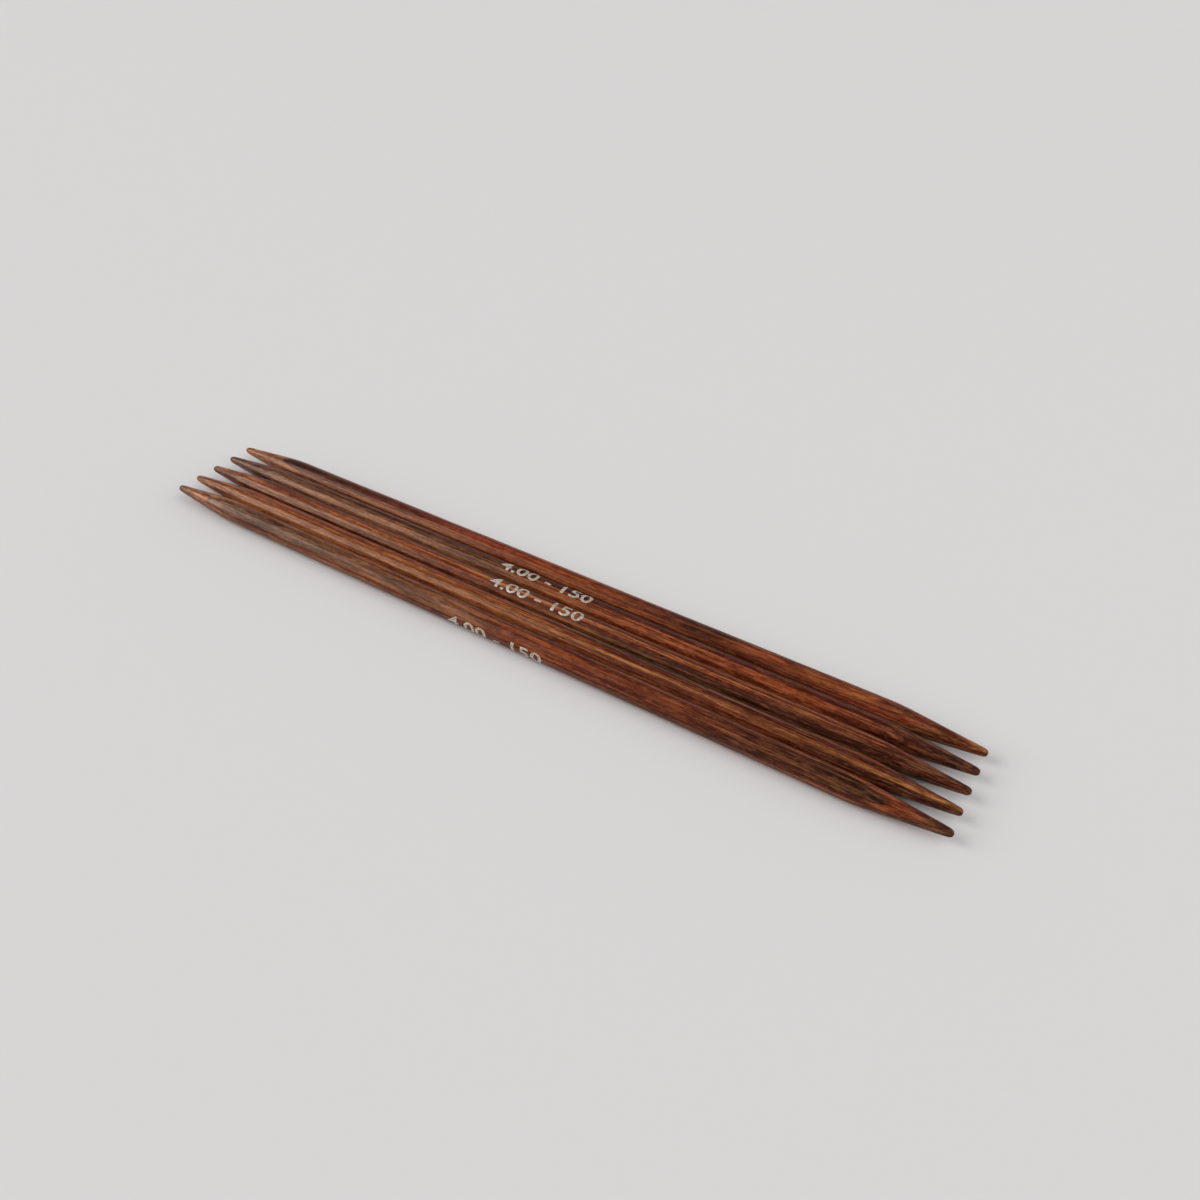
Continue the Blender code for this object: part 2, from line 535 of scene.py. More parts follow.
class PlyTree(GeometryTree):
    """Geometry Nodes tree that lofts one ply of a turned needle.

    A section has four sides. Its points run over the top face from 0 to 1, down the skin on the
    right to 2, back along the underside to 3 and up the skin on the left to 4.

    Attributes:
        stations: Number of sections along the ply. The first and the last are its end points.
        section: Number of points round a section.
        sides: Number of sides of a section.
        shaft_share: Share of the stations that lie on the shaft.
        taper_ease: Power that draws the stations together towards a tip.
        tip_share: Share of the taper next to the tip that is drawn finely.
        tip_steps: Number of steps of the outline in that share.
        cone_steps: Number of steps in the rest of the taper.
        wander: Noise pattern of a glue line's drift.
        weld: Distance under which points are joined.
        form: The needles' shared shape.
    """

    stations: int = 122
    section: int = 37
    sides: int = 4
    shaft_share: float = 0.5
    taper_ease: float = 1.6
    tip_share: float = 0.04
    tip_steps: int = 10
    cone_steps: int = 16
    wander: Pattern = Pattern((42.0, 1.0, 1.0), 2.0, 0.5)
    weld: float = 0.0000008

    def __init__(self, form: NeedleForm) -> None:
        """Builds the tree.

        Args:
            form: The needles' shared shape.
        """
        sizes = ("Reach", "Low", "High", "Low Seed", "High Seed", "Drift", "Gap", "Turn", "Across", "Height")
        super().__init__("turned_ply", sizes)
        self.form = form
        self.put_out("Geometry", self.solid())

    def along(self, share: Socket) -> Socket:
        """Spaces the stations, closer together on the tapers.

        Args:
            share: Place of the station from 0 to 1.

        Returns:
            Place along the needle's axis.
        """
        signed = self.minus(self.times(share, 2.0), 1.0)
        size = self.math("ABSOLUTE", signed)
        shaft = self.spread(size, 0.0, self.shaft_share, 0.0, self.form.shaft_half)
        rest = self.spread(size, self.shaft_share, 1.0, 1.0, 0.0)
        eased = self.minus(1.0, self.math("POWER", rest, self.taper_ease))
        end = self.times(eased, self.minus(self.given["Reach"], self.form.shaft_half))
        return self.times(self.plus(shaft, end), self.math("SIGN", signed))

    def radius(self, place: Socket) -> Socket:
        """Reads the needle's radius from its drawn outline.

        Args:
            place: Place along the axis.

        Returns:
            The radius there.
        """
        full = self.form.diameter / 2
        rest = 1 - self.tip_share
        steps = [self.tip_share * (step / self.tip_steps) ** 2 for step in range(self.tip_steps + 1)]
        steps += [self.tip_share + rest * (step + 1) / self.cone_steps for step in range(self.cone_steps)]
        heights = [self.form.radius(step * self.form.taper_length) / full for step in steps]
        distance = self.minus(self.form.length / 2, self.math("ABSOLUTE", place))
        outline = self.add("ShaderNodeFloatCurve", {"Value": self.over(distance, self.form.taper_length)})
        curve = outline.mapping.curves[0]
        curve.points[0].location = (steps[0], heights[0])
        curve.points[-1].location = (steps[-1], heights[-1])
        for step, height in zip(steps[1:-1], heights[1:-1]):
            curve.points.new(step, height)
        for point in curve.points:
            point.handle_type = "VECTOR"
        outline.mapping.update()
        return self.times(outline.outputs[0], full)

    def edge(self, height: str, place: Socket, lift: float) -> Socket:
        """Lets a glue line drift a little along the needle, as in real veneer.

        Args:
            height: Name of the input with the line's height.
            place: Place along the axis.
            lift: Direction of the half gap, 1 above the line and -1 below it.

        Returns:
            Height of the ply's face.
        """
        noise = self.noise(self.wander, (place, 0.0, 0.0), self.given[height + " Seed"])
        drift = self.times(self.times(self.minus(noise, NOISE_MIDDLE), 2.0), self.given["Drift"])
        gap = self.times(self.given["Gap"], lift / 2)
        return self.plus(self.plus(self.given[height], drift), gap)

    def angle(self, height: Socket, radius: Socket) -> Socket:
        """Angle from the board's normal at which a face at this height meets the needle's skin."""
        held = self.spread(self.over(height, radius), -1.0, 1.0, -1.0, 1.0)
        return self.math("ARCCOSINE", held)

    def solid(self) -> Socket:
        """Lofts the ply's section along the needle.

        Returns:
            The finished geometry's socket.
        """
        sizes = {"Size X": 1.0, "Size Y": 1.0, "Vertices X": self.stations, "Vertices Y": self.section}
        grid = self.add("GeometryNodeMeshGrid", sizes)
        flat_x, flat_y, _ = self.split(self.add("GeometryNodeInputPosition").outputs[0])
        # The grid is 1 wide about its middle, and its first and last rows become the end points
        half = 0.5
        last = self.stations - 1
        row = self.times(self.plus(flat_x, half), float(last))
        turn = self.times(self.plus(flat_y, half), float(self.sides))
        ends = self.plus(self.math("LESS_THAN", row, half), self.math("GREATER_THAN", row, last - half))
        place = self.along(self.spread(row, 1.0, last - 1.0, 0.0, 1.0))
        radius = self.radius(place)
        top = self.angle(self.edge("High", place, -1.0), radius)
        base = self.angle(self.edge("Low", place, 1.0), radius)
        down = self.minus(self.spread(turn, 1.0, 2.0, 0.0, 1.0), self.spread(turn, 3.0, 4.0, 0.0, 1.0))
        side = self.minus(self.spread(turn, 0.0, 1.0, -1.0, 1.0), self.spread(turn, 2.0, 3.0, 0.0, 2.0))
        angle = self.plus(top, self.times(self.minus(base, top), down))
        across = self.times(self.times(self.math("SINE", angle), radius), side)
        height = self.times(self.math("COSINE", angle), radius)
        faces = self.plus(self.math("COSINE", top), self.math("COSINE", base))
        middle = self.times(faces, self.times(radius, half))
        keep = self.minus(1.0, ends)
        level = self.plus(self.times(height, keep), self.times(middle, ends))
        spot = {"Vector": self.vector(place, self.times(across, keep), level), "Angle": self.given["Turn"]}
        turned = self.add("ShaderNodeVectorRotate", spot, rotation_type="X_AXIS")
        placed = self.add("ShaderNodeVectorMath", operation="ADD")
        self.feed(placed.inputs[0], turned.outputs[0])
        self.feed(placed.inputs[1], self.vector(0.0, self.given["Across"], self.given["Height"]))
        return self.closed(grid.outputs["Mesh"], turn, row, placed.outputs[0])

    def closed(self, mesh: Socket, turn: Socket, row: Socket, place: Socket) -> Socket:
        """Marks the skin, puts the points in place and closes the loft.

        Args:
            mesh: The flat grid.
            turn: Place round the section, from 0 to 4.
            row: Number of the station.
            place: Final place of each point.

        Returns:
            The closed mesh's socket.
        """
        right = self.times(self.math("GREATER_THAN", turn, 1.0), self.math("LESS_THAN", turn, 2.0))
        skin = self.plus(right, self.math("GREATER_THAN", turn, 3.0))
        last = self.stations - 2.0
        inner = self.times(self.math("GREATER_THAN", row, 1.0), self.math("LESS_THAN", row, last))
        values = {"Geometry": mesh, "Name": "skin", "Value": self.times(skin, inner)}
        store = self.add("GeometryNodeStoreNamedAttribute", values, data_type="FLOAT", domain="FACE")
        values = {"Geometry": store.outputs["Geometry"], "Position": place}
        moved = self.add("GeometryNodeSetPosition", values)
        return self.finished(moved.outputs["Geometry"], self.weld)


class MarkTree(GeometryTree):
    """Geometry Nodes tree that wraps flat printed figures round a shaft.

    Attributes:
        fineness: Number of times that the figures' faces are divided.
        weld: Distance under which points are joined.
    """

    fineness: int = 3
    weld: float = 0.00000001

    def __init__(self) -> None:
        """Builds the tree."""
        super().__init__("wrapped_mark", ("Radius", "Turn", "Across", "Height", "Ink"))
        self.put_out("Geometry", self.ink())

    def ink(self) -> Socket:
        """Wraps the figures and gives the ink its thickness.

        Returns:
            The finished geometry's socket.
        """
        given = self.given
        fine = self.add("GeometryNodeSubdivideMesh", {"Mesh": given["Geometry"], "Level": self.fineness})
        flat_x, flat_y, _ = self.split(self.add("GeometryNodeInputPosition").outputs[0])
        angle = self.minus(given["Turn"], self.over(flat_y, given["Radius"]))
        front = self.times(self.math("SINE", angle), given["Radius"])
        rise = self.times(self.math("COSINE", angle), given["Radius"])
        place = self.vector(flat_x, self.minus(given["Across"], front), self.plus(given["Height"], rise))
        bent = self.add("GeometryNodeSetPosition", {"Geometry": fine.outputs["Mesh"], "Position": place})
        skin = bent.outputs["Geometry"]
        values = {"Mesh": skin, "Offset Scale": given["Ink"], "Individual": False}
        raised = self.add("GeometryNodeExtrudeMesh", values, mode="FACES")
        under = self.add("GeometryNodeFlipFaces", {"Mesh": skin})
        both = self.add("GeometryNodeJoinGeometry")
        for part in (raised, under):
            self.feed(both.inputs[0], part.outputs["Mesh"])
        return self.finished(both.outputs[0], self.weld)


class RunGroup(GroupSheet):
    """Shader group that says how far along the veneer a point lies, with a wavering edge.

    Attributes:
        waver: Noise pattern of the wavering.
        middle: Share of the length at the middle of the needle.
    """

    waver: Pattern = Pattern((90.0, 650.0, 1500.0), 4.0, 0.6, 0.4)
    middle: float = 0.5

    def __init__(self) -> None:
        """Builds the group."""
        inputs = {"Vector": "Vector", "Length": "Float", "Waver": "Float", "Seed": "Float"}
        super().__init__("veneer_run", "ShaderNodeTree", inputs, {"Along": "Float"})
        spot = self.split(self.given["Vector"])
        wander = self.minus(self.noise(self.waver, spot, self.given["Seed"]), NOISE_MIDDLE)
        share = self.plus(self.over(spot[0], self.given["Length"]), self.middle)
        self.put_out("Along", self.plus(share, self.times(wander, self.given["Waver"])))


class GrainGroup(GroupSheet):
    """Shader group that draws growth lines, figure, pores, glue stain and a darkening at the tips over a dye;
    the darkening at the tips is partly end-grain stain and partly painted shade.

    Attributes:
        dark_tint: What the dye is multiplied by in the dark grain.
        bright_tint: What it is multiplied by in the light grain.
        bare_wood: Colour of the wood that shows through the light grain.
        bare_share: How much of it shows.
        glue_stain: Depths into the ply at which the stain of a glue line is full and gone.
        stain_ragged: How far the noise moves that stain.
        tip_stain_and_shade: Distances from a tip at which the darkening there, partly end-grain stain and
            partly painted shade, is full and gone.
        tip_share: Strength of the darkening at a tip, which is partly end-grain stain and partly painted
            shade.
        line_range: Noise sums between which a growth line rises.
        line_polish: Change of the roughness on a growth line.
        pore_dullness: Change of the roughness in a pore.
        pore_depth: Depth of a pore against the height of a growth line.
        spot: Place in the ply, along the grain, across the ply and through it.
        noises: Noise value of each pattern.
    """

    dark_tint: Color = (0.29, 0.17, 0.12, 1.0)
    bright_tint: Color = (1.5, 1.5, 1.5, 1.0)
    bare_wood: Color = (0.46, 0.21, 0.09, 1.0)
    bare_share: float = 0.33
    glue_stain: tuple[float, float] = (0.00003, 0.00018)
    stain_ragged: float = 0.0002
    tip_stain_and_shade: tuple[float, float] = (0.0002, 0.0016)
    tip_share: float = 0.6
    line_range: tuple[float, float] = (0.8, 1.2)
    line_polish: float = -0.06
    pore_dullness: float = 0.12
    pore_depth: float = 1.5

    def __init__(self) -> None:
        """Builds the group."""
        controls = [control.value for control in Control]
        sizes = (*controls, "Low", "High", "Half Length", "Gloss", "Seed")
        inputs = {"Vector": "Vector", "Dye": "Color", **{title: "Float" for title in sizes}}
        outputs = {"Color": "Color", "Roughness": "Float", "Height": "Float"}
        super().__init__("veneer_grain", "ShaderNodeTree", inputs, outputs)
        self.spot = self.split(self.given["Vector"])
        self.noises = {grain: self.noise(grain.value, self.spot, self.given["Seed"]) for grain in Grain}
        masks = [self.spread(self.noises[stroke.grain], stroke.start, stroke.full, 0.0, stroke.share)
                 for stroke in STROKES]
        self.put_out("Color", self.color(masks))
        # The pores are the last stroke
        pores = masks[-1]
        sums = self.plus(self.noises[Grain.FACE], self.noises[Grain.FINE])
        lines = self.spread(sums, *self.line_range, 0.0, 1.0)
        rough = self.plus(self.given["Gloss"], self.times(lines, self.line_polish))
        self.put_out("Roughness", self.plus(rough, self.times(pores, self.pore_dullness)))
        self.put_out("Height", self.minus(lines, self.times(pores, self.pore_depth)))

    def color(self, masks: list[Socket]) -> Socket:
        """Draws the grain, the glue stain and the darkening at the tips over the dye; that darkening is
        partly end-grain stain and partly painted shade.

        Args:
            masks: Where each stroke of the grain lies.

        Returns:
            The wood's colour.
        """
        given = self.given
        dark = self.mix(1.0, given["Dye"], self.dark_tint, "MULTIPLY")
        bright = self.mix(1.0, given["Dye"], self.bright_tint, "MULTIPLY")
        tones = {Tone.DARK: dark, Tone.LIGHT: self.mix(self.bare_share, bright, self.bare_wood)}
        along, _, depth = self.spot
        inside = self.math("MINIMUM", self.minus(depth, given["Low"]), self.minus(given["High"], depth))
        shake = self.times(self.minus(self.noises[Grain.FACE], NOISE_MIDDLE), self.stain_ragged)
        to_end = self.minus(given["Half Length"], self.math("ABSOLUTE", along))
        glue = self.spread(self.plus(inside, shake), *self.glue_stain, 1.0, 0.0)
        # Painted shade in part: the last 1.6 mm at each tip are darkened, partly for the stain of end grain
        # and partly for the shade at the tip's rounding
        tips = self.spread(to_end, *self.tip_stain_and_shade, self.tip_share, 0.0)
        steps = [(mask, stroke.control, stroke.tone) for mask, stroke in zip(masks, STROKES)]
        steps += [(mask, Control.STAIN_AND_SHADE, Tone.DARK) for mask in (glue, tips)]
        color = given["Dye"]
        for mask, control, tone in steps:
            color = self.mix(self.times(mask, given[control.value]), color, tones[tone])
        return color


@dataclass(frozen=True)
class VeneerFinish:
    """Finish of one ply.

    Attributes:
        dyes: Dyes along the veneer, each with its place from 0 at the left tip to 1 at the right.
        streaks: Strength of the growth lines, the mottle and the fine grain.
        figure: Strength of the flame figure.
        waver: How far the change from one dye to the next wanders along the grain.
        pores: Strength of the pores.
        stain_and_shade: Strength of the stain along glue lines and of the darkening at the tips, which is
            partly end-grain stain and partly painted shade.
        gloss: Roughness of the lacquer between the growth lines.
        relief: Strength of the grain's relief.
        relief_depth: Depth of the relief.
        specular: Specular level of the lacquer.
        specular_tint: Tint that the wood gives to its reflections.
        grain_step: Step from the seed of the dye's run to that of the grain.
    """

    dyes: tuple[tuple[float, Dye], ...]
    streaks: float = 0.97
    figure: float = 0.4
    waver: float = 0.22
    pores: float = 0.5
    stain_and_shade: float = 0.3
    gloss: float = 0.35
    relief: float = 0.25
    relief_depth: float = 0.00002
    specular: float = 0.28
    specular_tint: Color = (1.0, 0.71, 0.55, 1.0)
    grain_step: float = 3.7

    def ramp(self, sheet: NodeSheet, along: Socket) -> Socket:
        """Lays the dyes along the veneer.

        Args:
            sheet: The material's nodes.
            along: Place along the veneer from 0 to 1.

        Returns:
            The dye's socket.
        """
        node = sheet.add("ShaderNodeValToRGB")
        stops = node.color_ramp.elements
        last = self.dyes[-1] if len(self.dyes) > 1 else (1.0, self.dyes[0][1])
        for stop, (place, dye) in zip(stops, (self.dyes[0], last)):
            stop.position = place
            stop.color = dye.value
        for place, dye in self.dyes[1:-1]:
            stops.new(place).color = dye.value
        sheet.feed(node.inputs[0], along)
        return node.outputs[0]

    def material(self, name: str, shop: Workshop, needle: LaminatedNeedle, layer: tuple[float, float],
                 seed: float) -> bpy.types.Material:
        """Builds the lacquered veneer.

        Args:
            name: Name of the material.
            shop: What every needle is made with.
            needle: The needle that the ply belongs to.
            layer: Heights of the ply's two faces over the needle's axis.
            seed: Number that picks the run of the dye.

        Returns:
            The material.
        """
        form = shop.form
        material, sheet, shader = new_material(name)
        values = {"Vector": sheet.add("ShaderNodeTexCoord").outputs["Object"]}
        values["Location"] = (0.0, needle.across(form), form.axis_height)
        values["Rotation"] = (math.radians(needle.turn), 0.0, 0.0)
        spot = sheet.add("ShaderNodeMapping", values, vector_type="TEXTURE").outputs[0]
        values = {"Vector": spot, "Length": form.length, "Waver": self.waver, "Seed": seed}
        run = sheet.add("ShaderNodeGroup", values, node_tree=shop.run.tree)
        values = {"Vector": spot, "Dye": self.ramp(sheet, run.outputs["Along"]), "Streaks": self.streaks,
                  "Figure": self.figure, "Pores": self.pores, "Stain And Shade": self.stain_and_shade, "Low": layer[0],
                  "High": layer[1], "Half Length": form.length / 2, "Gloss": self.gloss,
                  "Seed": seed + self.grain_step}
        grain = sheet.add("ShaderNodeGroup", values, node_tree=shop.grain.tree)
        values = {"Strength": self.relief, "Distance": self.relief_depth, "Height": grain.outputs["Height"]}
        bump = sheet.add("ShaderNodeBump", values)
        sheet.feed(shader.inputs["Base Color"], grain.outputs["Color"])
        sheet.feed(shader.inputs["Roughness"], grain.outputs["Roughness"])
        sheet.feed(shader.inputs["Normal"], bump.outputs[0])
        shader.inputs["Specular IOR Level"].default_value = self.specular
        shader.inputs["Specular Tint"].default_value = self.specular_tint
        return material


@dataclass(frozen=True)
class InkFinish:
    """Silver-white ink of the printed size marks, a little rubbed in places.

    Attributes:
        color: Colour of the whole ink.
        worn: Colour where it is rubbed.
        rubbing: Noise pattern of the rubbing.
        seed: Number that picks the noise.
        rubbed_range: Noise values between which the ink goes from whole to rubbed.
        gloss: Roughness of the whole and of the rubbed ink.
        metallic: Share of metal in the ink.
    """

    color: Color = linear(208, 201, 191)
    worn: Color = linear(142, 120, 98)
    rubbing: Pattern = Pattern((1800.0, 2600.0, 2600.0), 3.0, 0.6)
    seed: float = 2.0
    rubbed_range: tuple[float, float] = (0.38, 0.64)
    gloss: tuple[float, float] = (0.36, 0.55)
    metallic: float = 0.25

    def material(self, name: str) -> bpy.types.Material:
        """Builds the ink.

        Args:
            name: Name of the material.

        Returns:
            The material.
        """
        material, sheet, shader = new_material(name)
        spot = sheet.split(sheet.add("ShaderNodeTexCoord").outputs["Object"])
        rubbed = sheet.spread(sheet.noise(self.rubbing, spot, self.seed), *self.rubbed_range, 0.0, 1.0)
        sheet.feed(shader.inputs["Base Color"], sheet.mix(rubbed, self.color, self.worn))
        sheet.feed(shader.inputs["Roughness"], sheet.spread(rubbed, 0.0, 1.0, *self.gloss))
        shader.inputs["Metallic"].default_value = self.metallic
        return material


class Workshop:
    """What every needle is made with.

    Attributes:
        form: The needles' shared shape.
        plies: The tree that lofts a ply.
        marks: The tree that wraps a printed mark.
        run: The shader group of a veneer's run.
        grain: The shader group of a veneer's grain.
        ink: Material of the printed marks.
    """

    def __init__(self) -> None:
        """Builds the trees and the ink once."""
        self.form = NeedleForm()
        self.plies = PlyTree(self.form)
        self.marks = MarkTree()
        self.run = RunGroup()
        self.grain = GrainGroup()
        self.ink = InkFinish().material("size_mark_ink")


@dataclass(frozen=True)
class PrintedMark:
    """Size printed on a shaft: the diameter and the length in millimetres.

    Attributes:
        start: Place of the first figure along the needle.
        end: Place of the last figure's far side.
        baseline: Angle of the figures' feet from straight up towards the front, in degrees.
        text: The figures.
        figure_height: Height of the figures round the shaft.
        slant: How far the figures lean for their height.
        ink: Thickness of the ink.
        sink: How far its underside lies in the wood.
        bold: How far the figures' outlines are widened, against the size of the type.
        curve_steps: Number of steps in each curve of an outline.
        least_edge: Length under which an edge of the figures is closed up.
    """

    start: float
    end: float
    baseline: float
    text: str = "4.00 - 150"
    figure_height: float = 0.0021
    slant: float = 0.02
    ink: float = 0.000014
    sink: float = 0.000002
    bold: float = 0.015
    curve_steps: int = 4
    least_edge: float = 0.000006

    def flat(self) -> bpy.types.Mesh:
        """Sets the figures flat, with their feet on y = 0.

        Returns:
            The flat mesh, sized along x and y.
        """
        words = bpy.data.curves.new("figures", "FONT")
        words.body = self.text
        words.offset = self.bold
        words.resolution_u = self.curve_steps
        holder = bpy.data.objects.new("figures", words)
        bpy.context.scene.collection.objects.link(holder)
        graph = bpy.context.evaluated_depsgraph_get()
        mesh = bpy.data.meshes.new_from_object(holder.evaluated_get(graph))
        bpy.data.objects.remove(holder, do_unlink=True)
        bpy.data.curves.remove(words)
        points = np.array([vertex.co for vertex in mesh.vertices])
        low, high = points.min(axis=0), points.max(axis=0)
        scale = self.figure_height / (high[1] - low[1])
        tall = (points[:, 1] - low[1]) * scale
        wide = (points[:, 0] - low[0]) / (high[0] - low[0])
        length = self.end - self.start - self.slant * self.figure_height
        leaning = self.start + wide * length + self.slant * tall
        placed = np.stack([leaning, tall, np.zeros(len(points))], axis=1)
        mesh.vertices.foreach_set("co", placed.ravel())
        self.tidy(mesh)
        return mesh

    def tidy(self, mesh: bpy.types.Mesh) -> None:
        """Closes up the shortest edges of the figures and evens out their faces.

        Args:
            mesh: The flat mesh.
        """
        shape = bmesh.new()
        shape.from_mesh(mesh)
        bmesh.ops.remove_doubles(shape, verts=shape.verts, dist=self.least_edge)
        bmesh.ops.dissolve_degenerate(shape, edges=shape.edges, dist=self.least_edge)
        bmesh.ops.triangulate(shape, faces=shape.faces)
        bmesh.ops.beautify_fill(shape, faces=shape.faces, edges=shape.edges, method="ANGLE")
        shape.to_mesh(mesh)
        shape.free()

    def build(self, name: str, shop: Workshop, across: float) -> bpy.types.Object:
        """Prints the mark on a shaft.

        Args:
            name: Name of the piece.
            shop: What every needle is made with.
            across: Place of the needle's axis across the row.

        Returns:
            The mark's object.
        """
        values = {"Radius": shop.form.diameter / 2 - self.sink, "Turn": math.radians(self.baseline),
                  "Across": across, "Height": shop.form.axis_height, "Ink": self.ink, "Material": shop.ink}
        return grown(name, shop.marks.tree, values, self.flat())


@dataclass(frozen=True)
class LaminatedNeedle:
    """One needle: a stack of veneers turned to a double point.

    Attributes:
        number: Place in the row, 1 at the front.
        turn: Angle of the board's normal from straight up towards the front, in degrees.
        shift: Height of a glue line over the axis, as a share of one ply.
        plies: Finish of each ply, from the underside of the board upwards.
        mark: The printed size, where the needle shows one.
        drift: How far a glue line wanders.
        middle_number: Number of the needle in the middle of the row.
        dye_seeds: Steps of the dyes' seed from needle to needle and from ply to ply.
        drift_seeds: Steps of the drift's seed from needle to needle and from line to line.
        slope_step: Distance on both sides of a point over which the outline's slope is taken.
        least_radius: Radius under which the skin's normals are left alone.
    """

    number: int
    turn: float
    shift: float
    plies: tuple[VeneerFinish, ...]
    mark: PrintedMark | None = None
    drift: float = 0.00007
    middle_number: int = 3
    dye_seeds: tuple[float, float] = (11.3, 2.9)
    drift_seeds: tuple[float, float] = (7.1, 1.7)
    slope_step: float = 0.00005
    least_radius: float = 0.000001

    @property
    def name(self) -> str:
        """Name of the needle's body."""
        return f"needle_{self.number}"

    def across(self, form: NeedleForm) -> float:
        """Place of the needle's axis across the row."""
        return (self.number - self.middle_number) * (form.diameter + form.side_gap)

    def edges(self, form: NeedleForm) -> list[float]:
        """Heights of the plies' faces, from outside the needle's underside to outside its top."""
        outside = form.diameter
        return [-outside, *form.glue_lines(self.shift), outside]

    def seed(self, steps: tuple[float, float], index: int) -> float:
        """Number that picks the noise of a ply or of a glue line."""
        return self.number * steps[0] + index * steps[1]

    def build_ply(self, index: int, shop: Workshop) -> bpy.types.Object:
        """Lofts one ply and gives it its finish.

        Args:
            index: Number of the ply from 0 at the underside of the board.
            shop: What every needle is made with.

        Returns:
            The ply's object.
        """
        form = shop.form
        lines = self.edges(form)
        low, high = lines[index], lines[index + 1]
        nearest = low if low > 0 else max(-high, 0.0)
        label = f"{self.name}_ply_{index + 1}_veneer"
        seed = self.seed(self.dye_seeds, index)
        material = self.plies[index].material(label, shop, self, (low, high), seed)
        values = {"Reach": form.length / 2 - form.distance(nearest), "Low": low, "High": high,
                  "Low Seed": self.seed(self.drift_seeds, index),
                  "High Seed": self.seed(self.drift_seeds, index + 1),
                  "Drift": self.drift, "Gap": form.glue_line, "Turn": math.radians(self.turn),
                  "Across": self.across(form), "Height": form.axis_height, "Material": material}
        piece = grown(label, shop.plies.tree, values, bpy.data.meshes.new(label))
        self.smooth_skin(piece.data, form)
        return piece

    def smooth_skin(self, mesh: bpy.types.Mesh, form: NeedleForm) -> None:
        """Gives the turned skin the true normals of a round needle, and leaves the cut faces flat.

        Args:
            mesh: Mesh of a ply.
            form: The needles' shared shape.
        """
        skin = read(mesh.attributes["skin"].data, "value", 1, np.float32)
        totals = read(mesh.polygons, "loop_total", 1, np.int32)
        flat = read(mesh.polygons, "normal", 3, np.float32).reshape(-1, 3)
        corners = read(mesh.loops, "vertex_index", 1, np.int32)
        points = read(mesh.vertices, "co", 3, np.float32).reshape(-1, 3)
        spots = points.astype(float)[corners]
        normals = np.repeat(flat, totals, axis=0).astype(float)
        axis = np.array((0.0, self.across(form), form.axis_height))
        radial = spots - axis
        sizes = np.linalg.norm(radial[:, 1:], axis=1)
        turned = np.repeat(skin > 0, totals) & (sizes > self.least_radius)
        radial[turned, 1:] /= sizes[turned, None]
        step = self.slope_step
        places = form.length / 2 - np.abs(spots[:, 0])
        rises = np.array([form.radius(place + step) - form.radius(place - step) for place in places])
        radial[:, 0] = rises / (2 * step) * np.sign(spots[:, 0])
        normals[turned] = radial[turned] / np.linalg.norm(radial[turned], axis=1)[:, None]
        mesh.polygons.foreach_set("use_smooth", np.ones(len(mesh.polygons), dtype=bool))
        mesh.attributes.remove(mesh.attributes["skin"])
        mesh.normals_split_custom_set(normals.tolist())

    def dress(self, shop: Workshop, slots: dict[str, str]) -> None:
        """Puts the needle's finished pieces on its body.

        Args:
            shop: What every needle is made with.
            slots: Material slot of each CAD node; not used.
        """
        for index in range(len(self.plies)):
            node = f"{self.name}_ply_{index + 1}"
            piece = self.build_ply(index, shop)
            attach(piece, self.name)
            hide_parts(node)
            LOG.info("%s: %d faces", piece.name, len(piece.data.polygons))
        if self.mark is not None:
            mark = self.mark.build(f"{self.name}_size_mark", shop, self.across(shop.form))
            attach(mark, self.name)
            LOG.info("%s: %d faces", mark.name, len(mark.data.polygons))


@dataclass(frozen=True)
class Lamp:
    """Broad, even light from far away.

    Attributes:
        name: Name of the lamp.
        toward: Direction from the object to the lamp.
        strength: Strength of the light.
        spread: Angle that the lamp fills, in degrees.
        color: Colour of the light.
    """

    name: str
    toward: Triple
    strength: float
    spread: float
    color: Triple

    def hang(self) -> None:
        """Adds the lamp to the scene."""
        data = bpy.data.lights.new(self.name, "SUN")
        data.energy = self.strength
        data.angle = math.radians(self.spread)
        data.color = self.color
        lamp = bpy.data.objects.new(self.name, data)
        lamp.rotation_euler = Vector(self.toward).to_track_quat("Z", "Y").to_euler()
        bpy.context.scene.collection.objects.link(lamp)


